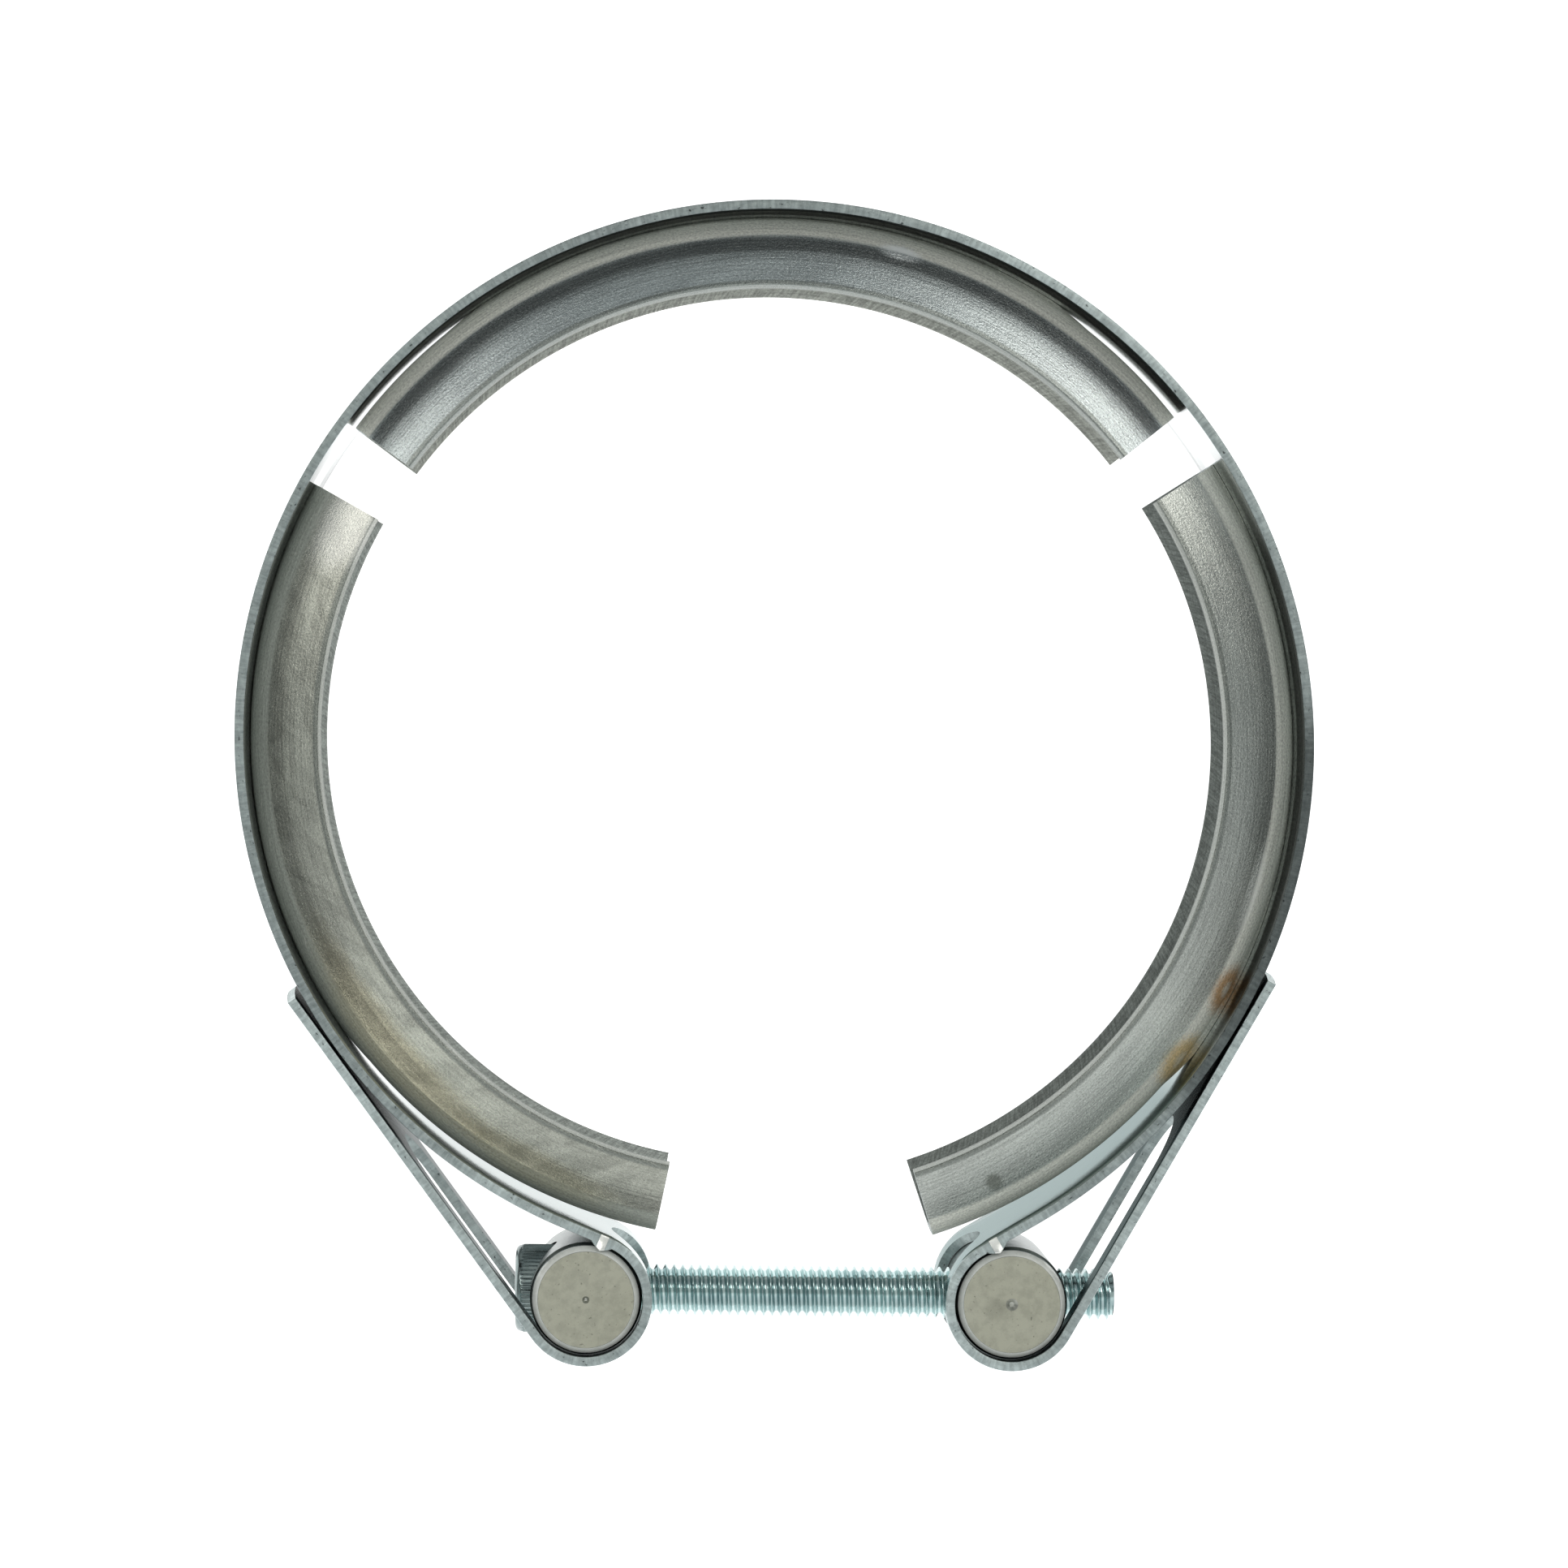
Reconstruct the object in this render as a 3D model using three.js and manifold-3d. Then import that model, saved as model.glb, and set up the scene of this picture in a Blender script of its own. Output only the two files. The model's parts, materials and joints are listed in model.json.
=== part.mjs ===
// A V-band clamp: three V-section retainer segments held inside one outer steel strip.
// Each end of the strip wraps round a trunnion and returns to the outside of the strip,
// and a socket-head cap screw draws the plain trunnion and the threaded trunnion together.
// The clamp lies flat: the ring's axis is Z, the screw lies along X and the mouth is at -Y.
// The strip is one piece of steel. It is made here in stretches, because it bends elastically
// in the two gaps between the segments, and those two places are the joints of the arms.

import * as THREE from 'three';
import { mergeVertices } from 'three/addons/utils/BufferGeometryUtils.js';
import Module from 'manifold-3d';

const wasm = await Module();
wasm.setup();

const degrees = THREE.MathUtils.degToRad;

// Outer strip. Radii are to its outer face.
const STRIP_WIDTH = 20;
const STRIP_THICKNESS = 1.15;
const TOP_ARC_RADIUS = 61.75;
const LEFT_ARM_RADIUS = 61.1;
const RIGHT_ARM_RADIUS = 63.2;
const LEFT_FLEX_ANGLE = degrees(147.65);
const RIGHT_FLEX_ANGLE = degrees(36.15);
const FLEX_GAP = degrees(0.8);
const STRETCH_GAP = 0.35;
const LEG_CLEARANCE = 0.25;
const LEFT_LEG_OVERRUN = 8.5;
const RIGHT_LEG_OVERRUN = 7;
const SLOT_WIDTH = 13;
const SLOT_END_TO_WELD = 13;

// Trunnions and the loops round them.
const TRUNNION_RADIUS = 6.2;
const TRUNNION_LENGTH = 19.4;
const TRUNNION_CHAMFER = 0.65;
const LOOP_INNER_RADIUS = 6.5;
const SCREW_LINE = -64.5;
const PLAIN_TRUNNION_X = -20.65;
const THREADED_TRUNNION_X = 28.15;

// Retainer segments: a V channel whose flanks flare outwards towards the ring's centre.
const SEGMENT_DEPTH = 8.5;
const SEGMENT_THICKNESS = 1.3;
const BASE_HALF_WIDTH = 1.5;
const SHOULDER_RADIUS = 2.6;
const FLANK_ANGLE = degrees(20);

// Cap screw, M6 with a 1 mm pitch. The thread is a cylinder at its outer diameter.
const THREAD_RADIUS = 3;
const SCREW_LENGTH = 63.6;
const HEAD_RADIUS = 5.1;
const HEAD_HEIGHT = 6;
const HEAD_ROUNDING = 0.6;
const SOCKET_ACROSS_FLATS = 5;
const SOCKET_DEPTH = 3;
const SEAT_DEPTH_FROM_AXIS = 2.1;
const SEAT_RADIUS = 5.4;
const SEAT_GAP = 0.15;
const PLAIN_HOLE_RADIUS = 3.4;
const THREADED_HOLE_RADIUS = 3.45;
const END_CHAMFER = 0.4;

const MID_WIDTH = STRIP_WIDTH / 2;
const HALF_THICKNESS = STRIP_THICKNESS / 2;
const SIDES = 40;
const RING_STEP = degrees(4);
const LOOP_STEP = degrees(12);
const CUT_MARGIN = 4;
const SLOT_END_SIDES = 12;
const SHOULDER_STEPS = 3;
const MERGE_DISTANCE = 1e-4;

// Each segment springs back to its own radius, so its own centre stands off the ring's centre,
// towards the stretch of strip that it touches. Radii are to the outer face of the channel's base.
const SEGMENTS = {
  v_segment_top: {
    centre: new THREE.Vector2(-0.14, 0.66),
    radius: 59.76,
    middle: degrees(91.4),
    span: degrees(105.7),
  },
  v_segment_left: {
    centre: new THREE.Vector2(-1.8, 0.28),
    radius: 58.65,
    middle: degrees(205.06),
    span: degrees(108.4),
  },
  v_segment_right: {
    centre: new THREE.Vector2(0.76, -0.69),
    radius: 59.93,
    middle: degrees(-19.2),
    span: degrees(105),
  },
};

const FINISHES = {
  strip: { color: 0x9aa3a3, roughness: 0.35, metalness: 1 },
  segment: { color: 0x8f9690, roughness: 0.42, metalness: 1 },
  trunnion: { color: 0xa9a99c, roughness: 0.5, metalness: 1 },
  screw: { color: 0x9fc0c4, roughness: 0.25, metalness: 1 },
};

const clamp = new THREE.Group();

function addPart(name, geometry, finish) {
  const mesh = new THREE.Mesh(geometry, new THREE.MeshStandardMaterial(FINISHES[finish]));
  mesh.name = name;
  clamp.add(mesh);
}

// Solids: three.js geometry to manifold-3d and back.

function toSolid(geometry) {
  const bare = geometry.clone();
  bare.deleteAttribute('normal');
  bare.deleteAttribute('uv');
  const merged = mergeVertices(bare, MERGE_DISTANCE);
  const vertProperties = new Float32Array(merged.attributes.position.array);
  const triVerts = new Uint32Array(wholeTriangles(merged.index.array));
  return new wasm.Manifold(new wasm.Mesh({ numProp: 3, vertProperties, triVerts }));
}

// Triangles whose corners merged on an axis have no area and are dropped.
function wholeTriangles(index) {
  const kept = [];
  for (let i = 0; i < index.length; i += 3) {
    const corners = [index[i], index[i + 1], index[i + 2]];
    if (new Set(corners).size === 3) kept.push(...corners);
  }
  return kept;
}

function toGeometry(solid) {
  const mesh = solid.getMesh();
  const geometry = new THREE.BufferGeometry();
  geometry.setAttribute('position', new THREE.BufferAttribute(mesh.vertProperties, 3));
  geometry.setIndex(new THREE.BufferAttribute(mesh.triVerts, 1));
  geometry.computeVertexNormals();
  return geometry;
}

function cut(geometry, ...cutters) {
  const whole = toSolid(geometry);
  return toGeometry(cutters.reduce((solid, cutter) => solid.subtract(toSolid(cutter)), whole));
}

// Mirroring in X turns every face inside out, so the corners' order is reversed too.
function mirrored(geometry) {
  const flipped = geometry.clone().scale(-1, 1, 1);
  flipped.index.array.reverse();
  flipped.computeVertexNormals();
  return flipped;
}

// Plane curves.

const point = (x, y) => new THREE.Vector2(x, y);
const direction = (angle) => point(Math.cos(angle), Math.sin(angle));
const polar = (centre, radius, angle) => direction(angle).multiplyScalar(radius).add(centre);

// A strip's centre line is a list of places, each with the unit vector to its left side.
function arcPlaces(centre, radius, from, to, step) {
  const count = Math.ceil(Math.abs(to - from) / step);
  const leftward = -Math.sign(to - from);
  const places = [];
  for (let i = 0; i <= count; i += 1) {
    const angle = from + ((to - from) * i) / count;
    places.push({ at: polar(centre, radius, angle), left: direction(angle).multiplyScalar(leftward) });
  }
  return places;
}

// The place a distance further along the straight line that leaves this one.
function onward(place, distance) {
  const ahead = point(place.left.y, -place.left.x).multiplyScalar(distance);
  return { at: place.at.clone().add(ahead), left: place.left };
}

function stripAlong(places) {
  const offset = (place, side) => place.left.clone().multiplyScalar(side * HALF_THICKNESS).add(place.at);
  const leftEdge = places.map((place) => offset(place, 1));
  const rightEdge = places.map((place) => offset(place, -1)).reverse();
  const shape = new THREE.Shape([...leftEdge, ...rightEdge]);
  return new THREE.ExtrudeGeometry(shape, { depth: STRIP_WIDTH, bevelEnabled: false });
}

// Strip. Both arms are laid out as the left one, and the right one is then mirrored in X.

// Where the arm's arc, the straight run, the loop and the return leg meet.
function layOutArm({ flexAngle, armRadius, trunnionX, legOverrun }) {
  const centre = direction(flexAngle).multiplyScalar(TOP_ARC_RADIUS - armRadius);
  const loopCentre = point(trunnionX, SCREW_LINE);
  const armLine = armRadius - HALF_THICKNESS;
  const loopLine = LOOP_INNER_RADIUS + HALF_THICKNESS;
  const legLine = armRadius + LEG_CLEARANCE + HALF_THICKNESS;
  const toLoop = loopCentre.clone().sub(centre);
  const span = toLoop.length();
  const leaveAngle = toLoop.angle() - Math.acos((armLine + loopLine) / span);
  const legAngle = toLoop.angle() - Math.acos((legLine - loopLine) / span);
  const legLength = Math.sqrt(span ** 2 - (legLine - loopLine) ** 2);
  const armLineArc = arcPlaces(centre, armLine, flexAngle + FLEX_GAP / 2, leaveAngle, RING_STEP);
  const wrap = arcPlaces(loopCentre, loopLine, leaveAngle - Math.PI, legAngle - 2 * Math.PI, LOOP_STEP);
  const legEnd = onward(wrap.at(-1), legLength + legOverrun);
  return { loopCentre, loopLine, armLineArc, wrap, legLength, legEnd };
}

const armStretch = ({ armLineArc }) => toGeometry(toSolid(stripAlong(armLineArc)));

// The straight run from the arm, the loop round the trunnion and the return leg, with their slot.
function loopStretch(arm) {
  const start = onward(arm.armLineArc.at(-1), STRETCH_GAP);
  const whole = stripAlong([start, ...arm.wrap, arm.legEnd]);
  return cut(whole, holeTowardsMouth(arm), slotUnderLoop(arm), slotInLeg(arm));
}

function holeTowardsMouth({ loopCentre, loopLine }) {
  const reach = loopLine + CUT_MARGIN;
  const hole = new THREE.CylinderGeometry(SLOT_WIDTH / 2, SLOT_WIDTH / 2, reach, SIDES);
  return hole.rotateZ(Math.PI / 2).translate(loopCentre.x + reach / 2, loopCentre.y, MID_WIDTH);
}

function slotUnderLoop({ loopCentre, loopLine }) {
  const reach = loopLine + CUT_MARGIN;
  const slot = new THREE.BoxGeometry(2 * reach, reach, SLOT_WIDTH);
  return slot.translate(loopCentre.x, loopCentre.y - reach / 2, MID_WIDTH);
}

// The slot runs straight up the leg and ends in a half circle.
function slotInLeg({ wrap, legLength }) {
  const { at, left } = wrap.at(-1);
  const endRadius = SLOT_WIDTH / 2;
  const endCentre = legLength - SLOT_END_TO_WELD - endRadius;
  const outline = new THREE.Shape([point(0, endRadius), point(0, -endRadius)]);
  outline.absarc(endCentre, 0, endRadius, -Math.PI / 2, Math.PI / 2);
  const slot = new THREE.ExtrudeGeometry(outline, {
    depth: 2 * CUT_MARGIN,
    bevelEnabled: false,
    curveSegments: SLOT_END_SIDES,
  });
  const ahead = new THREE.Vector3(left.y, -left.x, 0);
  const up = new THREE.Vector3(0, 0, 1);
  const across = new THREE.Vector3().crossVectors(ahead, up);
  slot.translate(0, 0, -CUT_MARGIN).applyMatrix4(new THREE.Matrix4().makeBasis(ahead, up, across));
  return slot.translate(at.x, at.y, MID_WIDTH);
}

function addStrip() {
  const topLine = TOP_ARC_RADIUS - HALF_THICKNESS;
  const topFrom = RIGHT_FLEX_ANGLE + FLEX_GAP / 2;
  const topTo = LEFT_FLEX_ANGLE - FLEX_GAP / 2;
  addPart('band_top', stripAlong(arcPlaces(point(0, 0), topLine, topFrom, topTo, RING_STEP)), 'strip');
  const leftArm = layOutArm({
    flexAngle: LEFT_FLEX_ANGLE,
    armRadius: LEFT_ARM_RADIUS,
    trunnionX: PLAIN_TRUNNION_X,
    legOverrun: LEFT_LEG_OVERRUN,
  });
  const rightArm = layOutArm({
    flexAngle: Math.PI - RIGHT_FLEX_ANGLE,
    armRadius: RIGHT_ARM_RADIUS,
    trunnionX: -THREADED_TRUNNION_X,
    legOverrun: RIGHT_LEG_OVERRUN,
  });
  addPart('band_left_arm', armStretch(leftArm), 'strip');
  addPart('band_left_loop', loopStretch(leftArm), 'strip');
  addPart('band_right_arm', mirrored(armStretch(rightArm)), 'strip');
  addPart('band_right_loop', mirrored(loopStretch(rightArm)), 'strip');
}

// Retainer segments.

// The bend from the channel's base to its flank, in radius and height above the middle of the strip.
function shoulder(radius, bendRadius) {
  const centre = point(radius - SHOULDER_RADIUS, BASE_HALF_WIDTH);
  const bend = [];
  for (let i = 0; i <= SHOULDER_STEPS; i += 1) {
    bend.push(polar(centre, bendRadius, (i / SHOULDER_STEPS) * (Math.PI / 2 - FLANK_ANGLE)));
  }
  return bend;
}

// One half of the channel's section.
function halfSection(radius) {
  const outer = shoulder(radius, SHOULDER_RADIUS);
  const inner = shoulder(radius, SHOULDER_RADIUS - SEGMENT_THICKNESS);
  const lipRadius = radius - SEGMENT_DEPTH;
  const alongFlank = ({ x, y }, reach) => point(reach, y + (x - reach) * Math.tan(FLANK_ANGLE));
  const outerLip = alongFlank(outer.at(-1), lipRadius + SEGMENT_THICKNESS * Math.sin(FLANK_ANGLE));
  const innerLip = alongFlank(inner.at(-1), lipRadius);
  return [...outer, outerLip, innerLip, ...inner.reverse()];
}

// The section is extruded straight, over the arc's angle, and then bent round the ring's axis.
function segmentAt({ centre, radius, middle, span }) {
  const upper = halfSection(radius);
  const lower = upper.map(({ x, y }) => point(x, -y)).reverse();
  const channel = new THREE.ExtrudeGeometry(
    new THREE.Shape([...upper, ...lower]),
    { depth: span, steps: Math.ceil(span / RING_STEP), bevelEnabled: false },
  );
  const position = channel.attributes.position;
  for (let i = 0; i < position.count; i += 1) {
    const at = polar(centre, position.getX(i), middle + span / 2 - position.getZ(i));
    position.setXYZ(i, at.x, at.y, position.getY(i) + MID_WIDTH);
  }
  channel.computeVertexNormals();
  return channel;
}

// Trunnions. Each is a round bar, chamfered at both ends, with a hole across it for the screw.

function trunnionBar() {
  const circle = new THREE.Shape().absarc(0, 0, TRUNNION_RADIUS - TRUNNION_CHAMFER, 0, 2 * Math.PI);
  const bar = new THREE.ExtrudeGeometry(circle, {
    depth: TRUNNION_LENGTH - 2 * TRUNNION_CHAMFER,
    bevelThickness: TRUNNION_CHAMFER,
    bevelSize: TRUNNION_CHAMFER,
    bevelSegments: 1,
    curveSegments: SIDES / 2,
  });
  return bar.translate(0, 0, MID_WIDTH - TRUNNION_LENGTH / 2 + TRUNNION_CHAMFER);
}

function roundCutterAlongX(radius, from, to) {
  const cutter = new THREE.CylinderGeometry(radius, radius, to - from, SIDES);
  return cutter.rotateZ(Math.PI / 2).translate((from + to) / 2, 0, MID_WIDTH);
}

function addTrunnions() {
  const clear = TRUNNION_RADIUS + CUT_MARGIN;
  const plainHole = roundCutterAlongX(PLAIN_HOLE_RADIUS, -clear, clear);
  const seat = roundCutterAlongX(SEAT_RADIUS, -clear, -SEAT_DEPTH_FROM_AXIS);
  const plain = cut(trunnionBar(), plainHole, seat);
  const threaded = cut(trunnionBar(), roundCutterAlongX(THREADED_HOLE_RADIUS, -clear, clear));
  addPart('trunnion_plain', plain.translate(PLAIN_TRUNNION_X, SCREW_LINE, 0), 'trunnion');
  addPart('trunnion_threaded', threaded.translate(THREADED_TRUNNION_X, SCREW_LINE, 0), 'trunnion');
}

// Cap screw. Its profile is turned about Y, with the bearing face of the head at the origin.

function capScrew() {
  const rim = HEAD_RADIUS - HEAD_ROUNDING;
  const profile = [
    point(0, -HEAD_HEIGHT),
    point(rim, -HEAD_HEIGHT),
    point(HEAD_RADIUS, HEAD_ROUNDING - HEAD_HEIGHT),
    point(HEAD_RADIUS, 0),
    point(THREAD_RADIUS, 0),
    point(THREAD_RADIUS, SCREW_LENGTH - END_CHAMFER),
    point(THREAD_RADIUS - END_CHAMFER, SCREW_LENGTH),
    point(0, SCREW_LENGTH),
  ];
  const turned = new THREE.LatheGeometry(profile, SIDES);
  const corner = SOCKET_ACROSS_FLATS / Math.sqrt(3);
  const socket = new THREE.CylinderGeometry(corner, corner, 2 * SOCKET_DEPTH, 6);
  return cut(turned, socket.translate(0, -HEAD_HEIGHT, 0));
}

function addScrew() {
  const screw = capScrew().rotateZ(-Math.PI / 2);
  const bearingFace = PLAIN_TRUNNION_X - SEAT_DEPTH_FROM_AXIS - SEAT_GAP;
  addPart('clamp_screw', screw.translate(bearingFace, SCREW_LINE, MID_WIDTH), 'screw');
}

addStrip();
Object.entries(SEGMENTS).forEach(([name, place]) => addPart(name, segmentAt(place), 'segment'));
addTrunnions();
addScrew();

// The frame's origin is the middle of the bottom of the clamp's bounding box.
const extent = new THREE.Box3().setFromObject(clamp);
const middle = extent.getCenter(new THREE.Vector3());
clamp.position.set(-middle.x, -middle.y, -extent.min.z);

export default clamp;
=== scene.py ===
# Looks for the V-band clamp: a steel strip that bends at two places, three V-section retainer
# segments, two trunnions and a socket-head cap screw, on a pale floor under soft light.

import itertools
import json
import math

import bmesh
import bpy
import numpy as np
from mathutils import Matrix, Vector


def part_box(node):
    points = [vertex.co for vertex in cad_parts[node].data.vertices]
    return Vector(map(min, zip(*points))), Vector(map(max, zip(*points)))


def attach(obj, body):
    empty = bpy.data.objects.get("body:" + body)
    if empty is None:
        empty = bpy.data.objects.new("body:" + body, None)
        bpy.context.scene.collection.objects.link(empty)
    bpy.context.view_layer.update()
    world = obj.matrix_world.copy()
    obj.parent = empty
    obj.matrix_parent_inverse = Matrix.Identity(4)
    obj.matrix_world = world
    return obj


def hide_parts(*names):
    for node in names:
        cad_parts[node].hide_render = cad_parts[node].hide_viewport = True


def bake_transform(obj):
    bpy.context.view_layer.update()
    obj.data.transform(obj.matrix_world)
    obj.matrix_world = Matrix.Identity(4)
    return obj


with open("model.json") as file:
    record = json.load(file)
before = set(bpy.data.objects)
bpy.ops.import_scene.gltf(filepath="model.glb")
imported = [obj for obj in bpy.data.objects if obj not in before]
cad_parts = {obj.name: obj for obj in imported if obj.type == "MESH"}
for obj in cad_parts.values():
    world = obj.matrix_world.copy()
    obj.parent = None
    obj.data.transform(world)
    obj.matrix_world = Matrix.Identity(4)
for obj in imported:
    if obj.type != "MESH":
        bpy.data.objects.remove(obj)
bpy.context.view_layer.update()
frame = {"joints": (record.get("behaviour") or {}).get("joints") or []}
MM = 0.001

# Strip, in millimetres. Radii are to its outer face.
WIDTH = 20.0
THICKNESS = 1.15
TOP_RADIUS = 61.75
ARMS = {
    "left": dict(radius=61.1, flex=math.radians(147.65), trunnion=-20.65, overrun=8.5, side=1),
    "right": dict(radius=63.2, flex=math.radians(180 - 36.15), trunnion=-28.15, overrun=7.0, side=-1),
}
SCREW_LINE = -64.5
LOOP_RADIUS = 6.5
LEG_CLEARANCE = 0.25
SLOT_HALF_WIDTH = 6.5
SLOT_TIP_ANGLE = math.radians(68)
SLOT_END_TO_WELD = 13.0
EDGE_BEVEL = 0.16
FACE_INSET = 0.035

# Each leg's end is cut to a shallow curve, which fades out over this length back from the end.
LEG_CROWN = 1.0
LEG_CROWN_REACH = 4.0

# The stake at the start of each slot: a bright notch in the upper edge, bulging toward the trunnion.
STAKE_ANGLE = math.radians(74)
STAKE_HALF_LENGTH = 0.51
STAKE_DEPTH = 0.42
STAKE_BULGE = 0.75
STAKE_BULGE_REACH = 1.3
STAKE_BULGE_ROUNDING = 0.8
STAKE_STEPS = (0.25, 0.5, 0.52, 0.75, 1.0, STAKE_BULGE_REACH)

# Segments. Radii are to the outer face of the channel's base. Middle, span and bears are in degrees,
# and bears is where the base rests on the strip, through a low foot that fades out past its ends.
SEGMENT_DEPTH = 8.5
SEGMENT_THICKNESS = 1.3
BASE_HALF_WIDTH = 1.5
SHOULDER_RADIUS = 2.6
FLANK_ANGLE = math.radians(20)
SEGMENTS = {
    "top": dict(centre=(-0.14, 0.66), radius=59.76, middle=91.4, span=105.7, body="top", bears=(57, 125)),
    "left": dict(centre=(-1.8, 0.28), radius=58.65, middle=205.06, span=108.4, body="left_arm",
                 bears=(151, 216)),
    "right": dict(centre=(0.76, -0.69), radius=59.93, middle=-19.2, span=105, body="right_arm",
                  bears=(-36, 33)),
}
FOOT_REACH = 0.75
FOOT_FADE = 5.0
LIP_ROUNDING = 0.2
SEGMENT_ROWS = 220

# Trunnions. Behind the chamfer a dark ledge fills most of the gap to the loop: painted shade, where the gap
# falls dark.
TRUNNION_RADIUS = 6.2
TRUNNION_CHAMFER = 0.68
LEDGE_DEPTH = 1.5
LEDGE_RADIUS = 6.44
PLAIN_HOLE = 3.4
THREADED_HOLE = 3.42
SEAT_RADIUS = 5.4
SEAT_DEPTH = 2.1

# Screw.
PITCH = 1.0
MAJOR_RADIUS = 2.985
THREAD_DEPTH = 0.6
THREAD_STEPS = 72
THREAD_EASE = 0.03
THREAD_END_BEVEL = 0.55
THREAD_END_SLOPE = 0.9
HEAD_RADIUS = 5.1
HEAD_HEIGHT = 6.0
KNURL_RIDGES = 60
KNURL_DEPTH = 0.13
KNURL_STEPS = 6
SOCKET_APOTHEM = 2.5
SOCKET_DEPTH = 3.0

# Camera: straight above, at a distance that gives the near faces' parallax.
CAMERA_AT = (-18.04, 6.87, 500.0)
CAMERA_TURN = math.radians(0.65)
CAMERA_SHIFT = (0.10663, -0.03934)
LENS = 96.33

# Across a segment, in centimetres from the start of its shoulder: the shoulder's end and the lip.
SHOULDER_END = SHOULDER_RADIUS * (math.pi / 2 - FLANK_ANGLE) / 10
FLANK_END = SHOULDER_END + 0.68

# Tones along the strip, each as from, to, fade (centimetres from the top) and weight: how much lighter
# its edges are painted, a painted reflection of what their slight tilt faces (darker where the weight is
# below 0); how much painted shade darkens its inner face behind the segments; and how dull its ends are.
EDGE_PAINTED_REFLECTION = [(-4.8, -2.8, 0.7, 0.3), (-13.6, -9.8, 0.9, -0.62), (-40, -16.5, 1.0, 0.4), (16, 40, 1.0, 0.4)]
INNER_SHADE = [(-5.38, 5.68, 0.08, 1.0), (6.7, 12.5, 1.0, 0.4), (-12.5, -6.7, 1.0, 0.4),
               (-13.9, -7.5, 0.9, 0.45)]
END_DULLING = [(-40, -14.24, 1.2, 0.85), (15, 40, 1.2, 0.35)]

# Across the strip, in centimetres from the middle of its outer face: where the edge begins, and the part
# of the inner face that darkens with painted shade.
OUTER_FACE_END = 1.06
INNER_FACE = (1.12, 1.62)

# Spot welds, in centimetres along the strip.
WELD_SPACING = 2.1
WELDS_END = 16.0

JOINTS = {j["name"]: np.array(j["pos_m"]) / MM for j in frame["joints"]}
PLAIN_AXIS = JOINTS["plain_trunnion_swivel"][:2]
THREADED_AXIS = JOINTS["threaded_trunnion_swivel"][:2]

# Where the middle of the ring stands in the frame.
RING = PLAIN_AXIS - np.array([ARMS["left"]["trunnion"], SCREW_LINE])

# A grey smudge on the threaded trunnion's upper end, in metres.
SMUDGE_AT = tuple(MM * x for x in (*(THREADED_AXIS + (-1.9, -0.6)), WIDTH))
SMUDGE_REACH = 3.6 * MM


# ---------------------------------------------------------------- meshes

def make_mesh(name, points, faces, materials, face_materials=None, uvs=None, sharp=35):
    """An object from points in millimetres. uvs has one pair for each face corner."""
    mesh = bpy.data.meshes.new(name)
    mesh.from_pydata([tuple(p) for p in np.asarray(points) * MM], [], faces)
    for material in materials:
        mesh.materials.append(material)
    if face_materials is not None:
        mesh.polygons.foreach_set("material_index", np.asarray(face_materials, np.int32))
    if uvs is not None:
        layer = mesh.uv_layers.new(name="UVMap")
        layer.data.foreach_set("uv", np.asarray(uvs, np.float32).ravel())
    mesh.validate()
    shade(mesh, sharp)
    piece = bpy.data.objects.new(name, mesh)
    bpy.context.scene.collection.objects.link(piece)
    return piece


def shade(mesh, sharp):
    mesh.polygons.foreach_set("use_smooth", np.ones(len(mesh.polygons), bool))
    mesh.set_sharp_from_angle(angle=math.radians(sharp))
    mesh.update()


def sweep(sections, u, v, kinds, closed=True, wrap=False):
    """Points, faces, face kinds and corner uvs of a surface through equal sections.
    u is along the sections, and v has a pair of values for each face across them."""
    rows, columns = sections.shape[:2]
    points = sections.reshape(-1, 3)
    faces, face_kinds, uvs = [], [], []
    spans = columns if closed else columns - 1
    for i in range(rows if wrap else rows - 1):
        k = (i + 1) % rows
        for j in range(spans):
            m = (j + 1) % columns
            near, far = v[j]
            faces.append((i * columns + j, k * columns + j, k * columns + m, i * columns + m))
            face_kinds.append(kinds[j])
            uvs += [(u[i], near), (u[i + 1], near), (u[i + 1], far), (u[i], far)]
    return points, faces, face_kinds, uvs


def pairs(values):
    return list(zip(values[:-1], values[1:]))


def turned(name, profile, steps, materials, kinds=None, at=(0, 0), sharp=30):
    """A solid of revolution about a vertical axis, from a profile of (radius, height)."""
    turns = np.linspace(0, 2 * math.pi, steps, endpoint=False)
    radius, height = np.array(profile).T
    sections = np.stack([
        at[0] + np.outer(np.cos(turns), radius),
        at[1] + np.outer(np.sin(turns), radius),
        np.tile(height, (steps, 1)),
    ], axis=-1)
    u = np.linspace(0, 2 * math.pi, steps + 1)
    v = pairs(along(np.array(profile)))
    kinds = kinds or [0] * (len(profile) - 1)
    points, faces, face_kinds, uvs = sweep(sections, u, v, kinds, closed=False, wrap=True)
    piece = make_mesh(name, points, faces, materials, face_kinds, uvs, sharp)
    weld(piece.data, sharp)
    return piece


def weld(mesh, sharp, distance=1e-6):
    """Joins points that coincide, and drops the faces that this leaves with no area."""
    b = bmesh.new()
    b.from_mesh(mesh)
    bmesh.ops.remove_doubles(b, verts=b.verts, dist=distance)
    bmesh.ops.dissolve_degenerate(b, edges=b.edges, dist=distance)
    bmesh.ops.recalc_face_normals(b, faces=b.faces)
    b.to_mesh(mesh)
    b.free()
    shade(mesh, sharp)


def along(points):
    """Distance along a line of points."""
    steps = np.linalg.norm(np.diff(points, axis=0), axis=1)
    return np.concatenate([[0], np.cumsum(steps)])


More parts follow.
